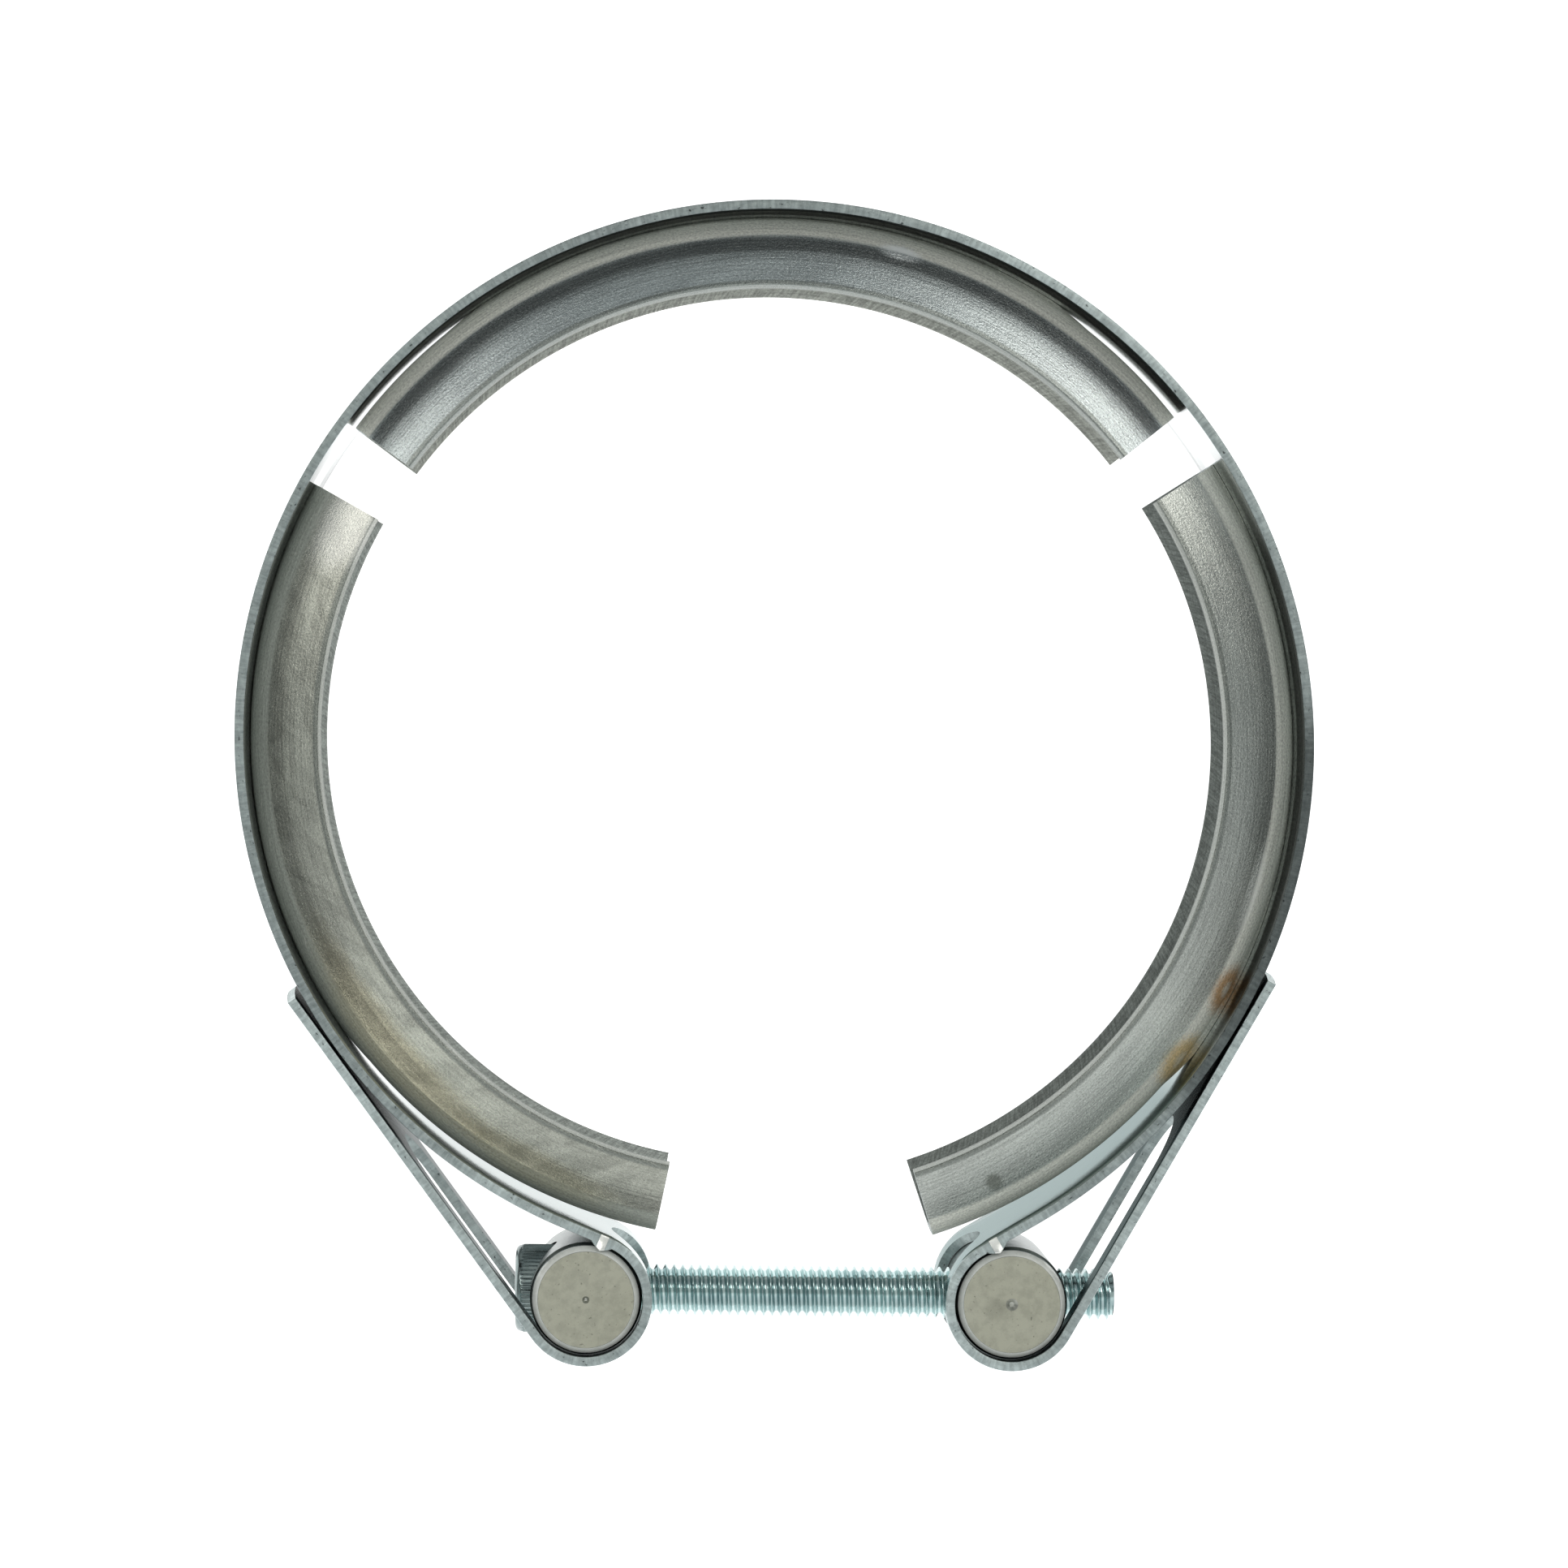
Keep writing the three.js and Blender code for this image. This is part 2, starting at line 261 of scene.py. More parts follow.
def bored(piece, cutters, sharp=30):
    """Cuts each cutter out of the piece, and removes the cutters."""
    for cutter in cutters:
        cut = piece.modifiers.new("cut", "BOOLEAN")
        cut.operation = "DIFFERENCE"
        cut.solver = "EXACT"
        cut.object = cutter
    graph = bpy.context.evaluated_depsgraph_get()
    mesh = bpy.data.meshes.new_from_object(piece.evaluated_get(graph))
    piece.modifiers.clear()
    piece.data = mesh
    shade(mesh, sharp)
    for cutter in cutters:
        bpy.data.objects.remove(cutter)
    return piece


def lying_cutter(profile, at, material, steps=96):
    """A turned cutter whose axis is along X through at; the profile is (radius, distance along X)."""
    cutter = turned("cutter", profile, steps, [material])
    turn = Matrix.Rotation(math.pi / 2, 4, "Y")
    cutter.data.transform(turn)
    cutter.data.transform(Matrix.Translation(Vector((at[0], at[1], WIDTH / 2)) * MM))
    return cutter


# ---------------------------------------------------------------- materials

def node(tree, kind, inputs=None, **settings):
    made = tree.nodes.new(kind)
    for key, value in settings.items():
        setattr(made, key, value)
    for key, value in (inputs or {}).items():
        socket = made.inputs[key]
        if isinstance(value, bpy.types.NodeSocket):
            tree.links.new(value, socket)
        else:
            socket.default_value = value
    return made


def math_node(tree, operation, *values):
    return node(tree, "ShaderNodeMath", dict(enumerate(values)), operation=operation).outputs[0]


def mapped(tree, source, scale, turn=0.0):
    """The source turned about Z, then stretched."""
    aimed = node(tree, "ShaderNodeMapping", {"Vector": source, "Rotation": (0, 0, turn)})
    return node(tree, "ShaderNodeMapping", {"Vector": aimed.outputs[0], "Scale": scale}).outputs[0]


def noise(tree, vector, scale, detail=4.0, roughness=0.55, distortion=0.0):
    made = node(tree, "ShaderNodeTexNoise", {
        "Vector": vector, "Scale": scale, "Detail": detail, "Roughness": roughness,
        "Distortion": distortion})
    return made.outputs["Fac"]


def grey(tree, value):
    return node(tree, "ShaderNodeCombineColor", dict.fromkeys(("Red", "Green", "Blue"), value)).outputs[0]


def ramp(tree, factor, stops, ease="LINEAR"):
    made = node(tree, "ShaderNodeValToRGB", {"Fac": factor})
    colours = made.color_ramp
    colours.interpolation = ease
    while len(colours.elements) < len(stops):
        colours.elements.new(0.5)
    for element, (place, value) in zip(colours.elements, stops):
        element.position = place
        element.color = (*value, 1) if hasattr(value, "__len__") else (value, value, value, 1)
    return made.outputs["Color"]


def mix(tree, factor, a, b, blend="MIX"):
    made = node(tree, "ShaderNodeMix", data_type="RGBA", blend_type=blend)
    by_kind = {kind: [s for s in made.inputs if s.type == kind] for kind in ("VALUE", "RGBA")}
    for socket, value in zip([by_kind["VALUE"][0], *by_kind["RGBA"]], (factor, a, b)):
        if isinstance(value, bpy.types.NodeSocket):
            tree.links.new(value, socket)
        else:
            socket.default_value = (*value, 1) if hasattr(value, "__len__") else value
    return [s for s in made.outputs if s.type == "RGBA"][0]


def new_metal(name):
    material = bpy.data.materials.new(name)
    material.use_nodes = True
    tree = material.node_tree
    shader = tree.nodes["Principled BSDF"]
    shader.inputs["Metallic"].default_value = 1.0
    return material, tree, shader


def coordinates(tree, kind):
    return node(tree, "ShaderNodeTexCoord").outputs[kind]


def finish_metal(tree, shader, colour, roughness, height, bump_distance, strength):
    tree.links.new(colour, shader.inputs["Base Color"])
    tree.links.new(roughness, shader.inputs["Roughness"])
    bump = node(tree, "ShaderNodeBump", {
        "Height": height, "Strength": strength, "Distance": bump_distance * MM})
    tree.links.new(bump.outputs[0], shader.inputs["Normal"])


def split_uv(tree):
    """The uv socket, the distance along the piece, and the unsigned distance across it, in centimetres."""
    uv = coordinates(tree, "UV")
    where = node(tree, "ShaderNodeSeparateXYZ", {"Vector": uv})
    return uv, where.outputs["X"], math_node(tree, "ABSOLUTE", where.outputs["Y"])


def band(tree, value, low, high, soft):
    """1 between low and high, falling to 0 over soft on either side."""
    rise = node(tree, "ShaderNodeMapRange", {
        "Value": value, "From Min": low - soft, "From Max": low}, interpolation_type="SMOOTHSTEP")
    fall = node(tree, "ShaderNodeMapRange", {
        "Value": value, "From Min": high, "From Max": high + soft, "To Min": 1.0, "To Max": 0.0},
        interpolation_type="SMOOTHSTEP")
    return math_node(tree, "MULTIPLY", rise.outputs[0], fall.outputs[0])


def banded(tree, u, bands):
    """The sum of several bands along a piece, each times its weight."""
    total = 0.0
    for low, high, soft, weight in bands:
        total = math_node(tree, "MULTIPLY_ADD", band(tree, u, low, high, soft), weight, total)
    return total


def scaled(tree, colour, factor, weight):
    """The colour times 1 - weight * factor."""
    share = math_node(tree, "MULTIPLY_ADD", factor, -weight, 1.0)
    share = math_node(tree, "MAXIMUM", share, 0.0)
    return mix(tree, 1.0, colour, grey(tree, share), "MULTIPLY")


def spot_welds(tree, u, v, clouds):
    """One row along the outer face, evenly spaced: the heat tint round each weld, and its shallow dent."""
    turn = math_node(tree, "DIVIDE", u, WELD_SPACING)
    nearest = math_node(tree, "SUBTRACT", turn, math_node(tree, "ROUND", turn))
    du = math_node(tree, "MULTIPLY", nearest, WELD_SPACING)
    squares = math_node(tree, "ADD", math_node(tree, "MULTIPLY", du, du), math_node(tree, "MULTIPLY", v, v))
    beyond = math_node(tree, "GREATER_THAN", math_node(tree, "ABSOLUTE", u), WELDS_END)
    reach = math_node(tree, "ADD", math_node(tree, "SQRT", squares), beyond)
    uneven = math_node(tree, "MULTIPLY_ADD", clouds, 0.25, reach)
    tint = ramp(tree, uneven, [(0.26, 1.0), (0.52, 0.0)], "EASE")
    dent = ramp(tree, reach, [(0.17, 0.0), (0.24, 1.0)], "EASE")
    return tint, dent


def strip_face_material():
    """Cold-rolled faces: bright, with faint rolling lines along the strip, scuffs and spot welds."""
    material, tree, shader = new_metal("strip_face")
    uv, u, v = split_uv(tree)
    lines = noise(tree, mapped(tree, uv, (0.4, 26, 1)), 3.0, 6, 0.6)
    clouds = noise(tree, mapped(tree, uv, (1, 1, 1)), 1.3, 5, 0.6)
    scuffs = ramp(tree, noise(tree, mapped(tree, uv, (1.2, 9, 1)), 2.2, 7, 0.7), [(0.56, 0.0), (0.72, 1.0)])
    tint, dent = spot_welds(tree, u, v, clouds)
    # Painted shade: the inner face darkened behind the segments, where they keep light off it.
    inner = math_node(tree, "MULTIPLY", banded(tree, u, INNER_SHADE), band(tree, v, *INNER_FACE, 0.12))
    outer = band(tree, v, -1.0, OUTER_FACE_END, 0.03)
    dulled = banded(tree, u, END_DULLING)
    base = ramp(tree, clouds, [(0.3, (0.66, 0.70, 0.70)), (0.7, (0.80, 0.83, 0.83))])
    base = mix(tree, math_node(tree, "MULTIPLY", scuffs, 0.3), base, (0.46, 0.49, 0.49))
    base = mix(tree, math_node(tree, "MULTIPLY", tint, 0.55), base, (0.52, 0.42, 0.28))
    base = mix(tree, dulled, scaled(tree, base, inner, 0.72), (0.38, 0.43, 0.43))
    base = scaled(tree, base, outer, 0.5)
    # Painted shade also darkens the reflection's tint behind the segments.
    grazing = scaled(tree, (1.0, 1.0, 1.0), inner, 0.8)
    grazing = scaled(tree, mix(tree, dulled, grazing, (0.40, 0.48, 0.48)), outer, 0.45)
    tree.links.new(grazing, shader.inputs["Specular Tint"])
    rough = math_node(tree, "MULTIPLY_ADD", lines, 0.10, 0.05)
    for part, weight in ((scuffs, 0.12), (outer, 0.14), (tint, 0.2)):
        rough = math_node(tree, "MULTIPLY_ADD", part, weight, rough)
    height = math_node(tree, "MULTIPLY_ADD", lines, 0.12, math_node(tree, "MULTIPLY", dent, 4.0))
    finish_metal(tree, shader, base, rough, height, 0.05, 0.35)
    return material


def strip_edge_material():
    """Sheared edges: matte blue-grey, with fine tears across the thickness, mottling and pits."""
    material, tree, shader = new_metal("strip_edge")
    uv, u, _ = split_uv(tree)
    tears = noise(tree, mapped(tree, uv, (22, 3, 1)), 1.0, 5, 0.65)
    mottle = noise(tree, mapped(tree, uv, (5, 9, 1)), 1.4, 7, 0.7)
    clouds = noise(tree, mapped(tree, uv, (0.35, 0.35, 1)), 1.0, 3, 0.5)
    pits = ramp(tree, noise(tree, mapped(tree, uv, (9, 14, 1)), 1.6, 3, 0.5), [(0.27, 1.0), (0.36, 0.0)])
    base = ramp(tree, mottle, [(0.30, (0.27, 0.315, 0.315)), (0.70, (0.47, 0.53, 0.525))])
    base = scaled(tree, base, ramp(tree, tears, [(0.40, 1.0), (0.62, 0.0)]), 0.26)
    base = scaled(tree, base, ramp(tree, clouds, [(0.35, 1.0), (0.65, 0.0)]), 0.25)
    base = scaled(tree, base, pits, 0.75)
    # Painted reflection: stretches of the edges lighter or darker along the strip, for the surroundings their
    # tilt would reflect.
    base = scaled(tree, base, banded(tree, u, EDGE_PAINTED_REFLECTION), -1.0)
    rough = math_node(tree, "MULTIPLY_ADD", mottle, 0.3, 0.30)
    height = math_node(tree, "MULTIPLY_ADD", pits, -0.8, math_node(tree, "ADD", tears, mottle))
    finish_metal(tree, shader, base, rough, height, 0.10, 0.55)
    return material


def segment_zones(tree, v, draw):
    """The parts across a segment: shoulder, a line of painted dark reflection, its fade into the flank, lip
    and inner flank.
    """
    wander = math_node(tree, "MULTIPLY_ADD", draw, 0.08, math_node(tree, "ADD", v, -0.04))
    shoulder = band(tree, wander, -1.0, SHOULDER_END + 0.02, 0.05)
    line = band(tree, wander, SHOULDER_END + 0.11, SHOULDER_END + 0.20, 0.07)
    fade = band(tree, wander, SHOULDER_END + 0.18, SHOULDER_END + 0.22, 0.2)
    lip = band(tree, v, FLANK_END - 0.05, FLANK_END + 0.09, 0.03)
    inside = band(tree, v, FLANK_END + 0.11, 9.0, 0.03)
    return shoulder, line, fade, lip, inside


def segment_wear(tree, uv, base, inside, wear):
    """Scratches along the flank and across it, and the inner flank's brushing."""
    along_it = noise(tree, mapped(tree, uv, (1.5, 30, 1)), 1.7, 8, 0.72)
    across_it = noise(tree, mapped(tree, uv, (1.3, 24, 1), turn=0.25), 1.5, 8, 0.7)
    brushed = noise(tree, mapped(tree, uv, (34, 5, 1), turn=0.7), 1.0, 4, 0.6)
    scratch = ramp(tree, along_it, [(0.61, 0.0), (0.70, 1.0)])
    crossing = ramp(tree, across_it, [(0.60, 0.0), (0.70, 1.0)])
    brush = ramp(tree, brushed, [(0.4, 1.0), (0.6, 0.0)])
    base = scaled(tree, base, math_node(tree, "MULTIPLY", inside, brush), 0.35)
    base = mix(tree, math_node(tree, "MULTIPLY", scratch, 0.45), base, (0.74, 0.74, 0.70))
    return mix(tree, math_node(tree, "MULTIPLY", crossing, wear), base, (0.80, 0.79, 0.73))


def segment_material(name, body_tone, shoulder_tone, inside_tone, painted_dark_reflection, wear, stains_and_highlights):
    """Roll-formed channel. Across it, from the middle of the base: a pebbled shoulder, a line of painted dark
    reflection, a mottled flank with fine lines along it, a narrow lip and a brushed inner flank."""
    material, tree, shader = new_metal(name)
    uv, _, v = split_uv(tree)
    pebble = noise(tree, mapped(tree, uv, (30, 42, 1)), 1.0, 4, 0.6)
    grain = noise(tree, mapped(tree, uv, (22, 36, 1)), 1.4, 5, 0.68)
    draw = noise(tree, mapped(tree, uv, (0.35, 26, 1)), 1.6, 5, 0.6, 0.15)
    clouds = noise(tree, mapped(tree, uv, (0.55, 1.7, 1)), 1.0, 5, 0.6, 0.5)
    smears = noise(tree, mapped(tree, uv, (1.1, 3.5, 1), turn=-0.5), 1.2, 6, 0.65, 0.8)
    shoulder, line, fade, lip, inside = segment_zones(tree, v, draw)
    base = ramp(tree, clouds, [(0.28, tuple(0.75 * c for c in body_tone)), (0.72, body_tone)])
    base = scaled(tree, base, ramp(tree, smears, [(0.42, 0.0), (0.62, 1.0)]), 0.5 * wear)
    base = mix(tree, shoulder, base, shoulder_tone)
    base = mix(tree, inside, base, inside_tone)
    base = mix(tree, math_node(tree, "MULTIPLY", lip, 0.8), base, (0.23, 0.25, 0.23))
    base = scaled(tree, base, ramp(tree, grain, [(0.36, 1.0), (0.62, 0.0)]), 0.38)
    base = scaled(tree, base, ramp(tree, draw, [(0.35, 1.0), (0.55, 0.0)]), 0.22)
    # Painted dark reflection: a dark line below the shoulder, fading into the flank.
    base = scaled(tree, base, line, painted_dark_reflection)
    base = scaled(tree, base, fade, 0.6 * painted_dark_reflection)
    base = segment_wear(tree, uv, base, inside, wear)
    for mark in stains_and_highlights:
        base = surface_mark(tree, uv, base, pebble, clouds, **mark)
    rough = math_node(tree, "MULTIPLY_ADD", grain, 0.16, 0.13)
    rough = math_node(tree, "MULTIPLY_ADD", clouds, 0.10, rough)
    rough = math_node(tree, "MULTIPLY_ADD", math_node(tree, "MAXIMUM", shoulder, inside), 0.35, rough)
    height = math_node(tree, "MULTIPLY_ADD", draw, 0.7, math_node(tree, "MULTIPLY", grain, 0.9))
    height = math_node(tree, "MULTIPLY_ADD", pebble, 0.8, height)
    finish_metal(tree, shader, base, rough, height, 0.1, 0.37)
    tree.links.new(math_node(tree, "MULTIPLY_ADD", shoulder, -0.55, 1.0), shader.inputs["Metallic"])
    return material


def surface_mark(tree, uv, base, grain, clouds, at, size, colour, strength, blend="MULTIPLY", core=1.0):
    """An oval of another colour, broken up by the grain, for stains, heat tints and painted highlights; core
    is how strong it is in its middle.
    """
    place = node(tree, "ShaderNodeMapping", {
        "Vector": uv,
        "Scale": (1 / size[0], 1 / size[1], 0),
        "Location": (-at[0] / size[0], -at[1] / size[1], 0)})
    reach = node(tree, "ShaderNodeVectorMath", {0: place.outputs[0]}, operation="LENGTH").outputs["Value"]
    reach = math_node(tree, "MULTIPLY_ADD", grain, 0.5, reach)
    reach = math_node(tree, "MULTIPLY_ADD", clouds, 0.5, reach)
    share = math_node(tree, "MULTIPLY", reach, 0.7)
    inside = ramp(tree, share, [(0.45, strength * core), (0.62, strength), (1.0, 0.0)], "EASE")
    return mix(tree, inside, base, colour, blend)


def trunnion_material():
    """Turned bar: matte ends with small marks, satin sides with fine turning lines."""
    material, tree, shader = new_metal("trunnion_steel")
    at = coordinates(tree, "Object")
    mottle = noise(tree, at, 900, 5, 0.65)
    clouds = noise(tree, at, 120, 4, 0.6)
    rings = noise(tree, mapped(tree, at, (40, 40, 2600)), 1.0, 4, 0.6)
    facing = node(tree, "ShaderNodeNewGeometry")
    up = node(tree, "ShaderNodeSeparateXYZ", {"Vector": facing.outputs["Normal"]}).outputs["Z"]
    flat = ramp(tree, math_node(tree, "ABSOLUTE", up), [(0.75, 0.0), (0.95, 1.0)])
    side = ramp(tree, mottle, [(0.3, (0.28, 0.31, 0.31)), (0.7, (0.40, 0.43, 0.42))])
    end = ramp(tree, clouds, [(0.3, (0.43, 0.43, 0.35)), (0.7, (0.47, 0.47, 0.39))])
    end = scaled(tree, end, ramp(tree, mottle, [(0.38, 1.0), (0.58, 0.0)]), 0.16)
    pits = ramp(tree, noise(tree, at, 2600, 3, 0.5), [(0.28, 1.0), (0.34, 0.0)])
    end = scaled(tree, end, pits, 0.4)
    away = node(tree, "ShaderNodeVectorMath", {0: at, 1: SMUDGE_AT}, operation="DISTANCE").outputs["Value"]
    away = math_node(tree, "MULTIPLY_ADD", clouds, 0.003, away)
    smudge = ramp(tree, math_node(tree, "DIVIDE", away, SMUDGE_REACH), [(0.5, 1.0), (0.95, 0.0)], "EASE")
    end = scaled(tree, end, smudge, 0.2)
    base = mix(tree, flat, side, end)
    rough = math_node(tree, "MULTIPLY_ADD", flat, 0.25, math_node(tree, "MULTIPLY_ADD", mottle, 0.2, 0.2))
    height = math_node(tree, "ADD", mottle, math_node(tree, "MULTIPLY", rings, 0.5))
    finish_metal(tree, shader, base, rough, height, 0.03, 0.35)
    return material


def chamfer_material(name, low, high, metallic=1.0):
    """A freshly cut face: bright, with coarse tool marks. With dark colours it also makes the dimples, and
    the painted shade on the ledges behind the trunnions' chamfers.
    """
    material, tree, shader = new_metal(name)
    at = coordinates(tree, "Object")
    mottle = noise(tree, at, 700, 5, 0.7)
    base = ramp(tree, mottle, [(0.3, low), (0.7, high)])
    rough = math_node(tree, "MULTIPLY_ADD", mottle, 0.25, 0.2)
    finish_metal(tree, shader, base, rough, mottle, 0.05, 0.5)
    shader.inputs["Metallic"].default_value = metallic
    return material


def zinc_material(name, shade_by):
    """Clear blue zinc: glossy, with a pale cyan cast, faint patches and a fine paler mottle."""
    material, tree, shader = new_metal(name)
    at = coordinates(tree, "Object")
    patches = noise(tree, at, 170, 3, 0.5)
    fine = noise(tree, at, 1500, 4, 0.6)
    dark = tuple(c * shade_by for c in (0.36, 0.49, 0.50))
    light = tuple(c * shade_by for c in (0.50, 0.64, 0.64))
    base = ramp(tree, patches, [(0.35, dark), (0.65, light)])
    base = mix(tree, math_node(tree, "MULTIPLY", fine, 0.25), base, (0.66, 0.68, 0.66))
    rough = math_node(tree, "MULTIPLY_ADD", fine, 0.15, 0.10)
    finish_metal(tree, shader, base, rough, fine, 0.02, 0.3)
    return material


FACE = strip_face_material()
EDGE = strip_edge_material()
STAKE = chamfer_material("stake_bright", (0.74, 0.75, 0.72), (0.92, 0.93, 0.90))
TRUNNION = trunnion_material()
CHAMFER = chamfer_material("trunnion_chamfer", (0.74, 0.76, 0.71), (0.95, 0.96, 0.92), 0.4)
ZINC = zinc_material("zinc", 1.0)
# Painted shade: the screw head's zinc, darkened to about a third of the shank's.
SHADED_HEAD_ZINC = zinc_material("zinc_head_painted_shade", 0.35)
DIMPLE = chamfer_material("dimple", (0.34, 0.35, 0.31), (0.48, 0.49, 0.45))
# Painted shade: near black, on the ledge in the gap between each trunnion and its loop.
GAP_SHADE = chamfer_material("painted_gap_shade", (0.02, 0.025, 0.025), (0.05, 0.06, 0.055))


# ---------------------------------------------------------------- strip

# A strip face's kind is its place in the list of the strip's materials.
ROLLED_FACE, CUT_EDGE, STAKED = range(3)
EDGE_COLUMNS = range(4, 10)


def direction(angle):
    return np.array([math.cos(angle), math.sin(angle)])


def arc(centre, radius, start, end, step):
    """Places along an arc, with the unit vector to the left of travel."""
    count = max(2, math.ceil(abs(end - start) * radius / step))
    leftward = -np.sign(end - start)
    places = []
    for angle in np.linspace(start, end, count + 1):
        out = direction(angle)
        places.append((centre + radius * out, leftward * out))
    return places


def arm_path(radius, flex, trunnion, overrun, **_):
    """The strip from the top to the end of its leg, with the distances at which its parts begin."""
    centre = (TOP_RADIUS - radius) * direction(flex)
    loop_centre = np.array([trunnion, SCREW_LINE])
    arm_line = radius - THICKNESS / 2
    loop_line = LOOP_RADIUS + THICKNESS / 2
    leg_line = radius + LEG_CLEARANCE + THICKNESS / 2
    to_loop = loop_centre - centre
    span = np.linalg.norm(to_loop)
    heading = math.atan2(to_loop[1], to_loop[0]) % (2 * math.pi)
    leave = heading - math.acos((arm_line + loop_line) / span)
    leg_angle = heading - math.acos((leg_line - loop_line) / span)
    leg_length = math.sqrt(span**2 - (leg_line - loop_line) ** 2)
    run_start = centre + arm_line * direction(leave)
    run_end = loop_centre - loop_line * direction(leave)
    run_left = -direction(leave)
    run = [(run_start + (run_end - run_start) * t, run_left) for t in np.linspace(0, 1, 24)[1:-1]]
    loop = arc(loop_centre, loop_line, leave - math.pi, leg_angle - 2 * math.pi, 0.4)
    end, left = loop[-1]
    ahead = np.array([left[1], -left[0]])
    leg = [(end + ahead * d, left) for d in np.linspace(0, leg_length + overrun, 110)[1:]]
    parts = [
        arc(np.zeros(2), TOP_RADIUS - THICKNESS / 2, math.pi / 2, flex, 1.0),
        arc(centre, arm_line, flex, leave, 1.0)[1:],
        run,
        loop,
        leg,
    ]
    places = sum(parts, [])
    at = np.array([p[0] for p in places])
    lefts = np.array([p[1] for p in places])
    distance = along(at)
    starts = np.cumsum([0] + [len(p) for p in parts])
    loop_from = distance[starts[3]]
    turn = leave - math.pi
    tip = loop_from + loop_line * (turn - SLOT_TIP_ANGLE)
    stake = loop_from + loop_line * (turn - STAKE_ANGLE)
    leg_from = distance[starts[4] - 1]
    return dict(at=at, left=lefts, distance=distance, slot_from=tip, stake=stake, leg_from=leg_from,
                slot_to=leg_from + leg_length - SLOT_END_TO_WELD, loop_from=loop_from)


def slot_half(distance, path):
    """Half the slot's width at a distance along the strip: full-round ends, straight between."""
    inward = np.minimum(distance - path["slot_from"], path["slot_to"] - distance)
    inward = np.clip(inward, 0, SLOT_HALF_WIDTH)
    return np.sqrt(np.maximum(SLOT_HALF_WIDTH**2 - (SLOT_HALF_WIDTH - inward) ** 2, 0))


def resampled(path):
    """Adds places near the slot's ends and the stake, where the outline changes fast."""
    extra = []
    for tip, sign in ((path["slot_from"], 1), (path["slot_to"], -1)):
        for turn in np.linspace(0, math.pi / 2, 14):
            extra.append(tip + sign * SLOT_HALF_WIDTH * (1 - math.cos(turn)))
    extra += [path["stake"] + side * step for side in (-1, 1) for step in STAKE_STEPS] + [path["stake"]]
    d = path["distance"]
    keep = [x for x in d if all(abs(x - e) > 0.05 for e in extra)]
    new = np.array(sorted(keep + extra))
    at = np.stack([np.interp(new, d, path["at"][:, i]) for i in (0, 1)], axis=1)
    left = np.stack([np.interp(new, d, path["left"][:, i]) for i in (0, 1)], axis=1)
    left /= np.linalg.norm(left, axis=1)[:, None]
    return new, at, left


def half_profile():
    """(thickness offset, share of the way from the slot to the edge, height below the edge)."""
    t, b = THICKNESS / 2 - FACE_INSET, EDGE_BEVEL
    shares = (0, 0.25, 0.5, 0.75, 1)
    up = [(-t, share, b * share) for share in shares]
    over = [(-t + 0.3 * b, 1, 0.3 * b), (-t + b, 1, 0), (0, 1, 0), (t - b, 1, 0), (t - 0.3 * b, 1, 0.3 * b)]
    down = [(t, share, b * share) for share in reversed(shares)]
    return up + over + down


def strip_sections(distance, at, left, path, side, z_side):
    """The section at each place along the strip, above (1) or below (-1) the middle of its width.
    side is 1 for the left end of the strip and -1 for the right."""
    profile = half_profile()
    half = slot_half(distance, path)
    ahead = np.stack([left[:, 1], -left[:, 0]], axis=1)
    leg_share = np.clip((distance - distance[-1]) / LEG_CROWN_REACH + 1, 0, 1)
    stake_reach = np.abs(distance - path["stake"])
    notch = np.where(stake_reach < STAKE_HALF_LENGTH, STAKE_DEPTH, 0.0)
    bulge = STAKE_BULGE * np.clip(1 - stake_reach / STAKE_BULGE_REACH, 0, 1) ** STAKE_BULGE_ROUNDING
    sections = np.zeros((len(distance), len(profile), 3))
    for j, (offset, share, below) in enumerate(profile):
        z_from_mid = half + (WIDTH / 2 - half) * share - below
        shift = np.full(len(distance), offset)
        toward_trunnion = offset < -THICKNESS / 4
        if z_side > 0 and share == 1 and toward_trunnion:
            shift = shift - bulge
        elif z_side > 0 and share == 1:
            z_from_mid = z_from_mid - notch
        crown = -LEG_CROWN * (z_from_mid / (WIDTH / 2)) ** 2 * leg_share
        xy = at + left * shift[:, None] + ahead * crown[:, None]
        sections[:, j, :2] = xy * (side, 1) + RING
        sections[:, j, 2] = WIDTH / 2 + z_side * z_from_mid
    return sections


def strip_uv_across(z_side):
    """Distance across the strip for each profile point, in centimetres, from its middle."""
    profile = half_profile()
    line = np.array([(o, share * WIDTH / 2) for o, share, _ in profile] + [(-THICKNESS / 2, 0)])
    return z_side * along(line) / 10


def strip_surface(distance, half, path, side, z_side, base):
    """Faces, kinds and corner uvs of one half of the width. base is the number of its first point."""
    u, v = side * distance / 10, strip_uv_across(z_side)
    columns = len(half_profile())
    in_stake = np.abs((distance[:-1] + distance[1:]) / 2 - path["stake"]) < STAKE_HALF_LENGTH
    faces, kinds, uvs = [], [], []
    for i, j in itertools.product(range(len(distance) - 1), range(columns)):
        slot_wall = j == columns - 1
        if slot_wall and max(half[i], half[i + 1]) < 1e-6:
            continue
        row, next_row, m = base + i * columns, base + (i + 1) * columns, (j + 1) % columns
        faces.append([row + j, next_row + j, next_row + m, row + m])
        if j in EDGE_COLUMNS and z_side > 0 and in_stake[i]:
            kinds.append(STAKED)
        else:
            kinds.append(CUT_EDGE if j in EDGE_COLUMNS or slot_wall else ROLLED_FACE)
        uvs += [(u[i], v[j]), (u[i + 1], v[j]), (u[i + 1], v[j + 1]), (u[i], v[j + 1])]
    for row in (0, len(distance) - 1):
        faces.append([base + row * columns + j for j in range(columns)])
        kinds.append(CUT_EDGE)
        uvs += [(u[row], v[j]) for j in range(columns)]
    return faces, kinds, uvs


def bend_strip(piece):
    """Bakes the piece's transform into its points."""
    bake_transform(piece)


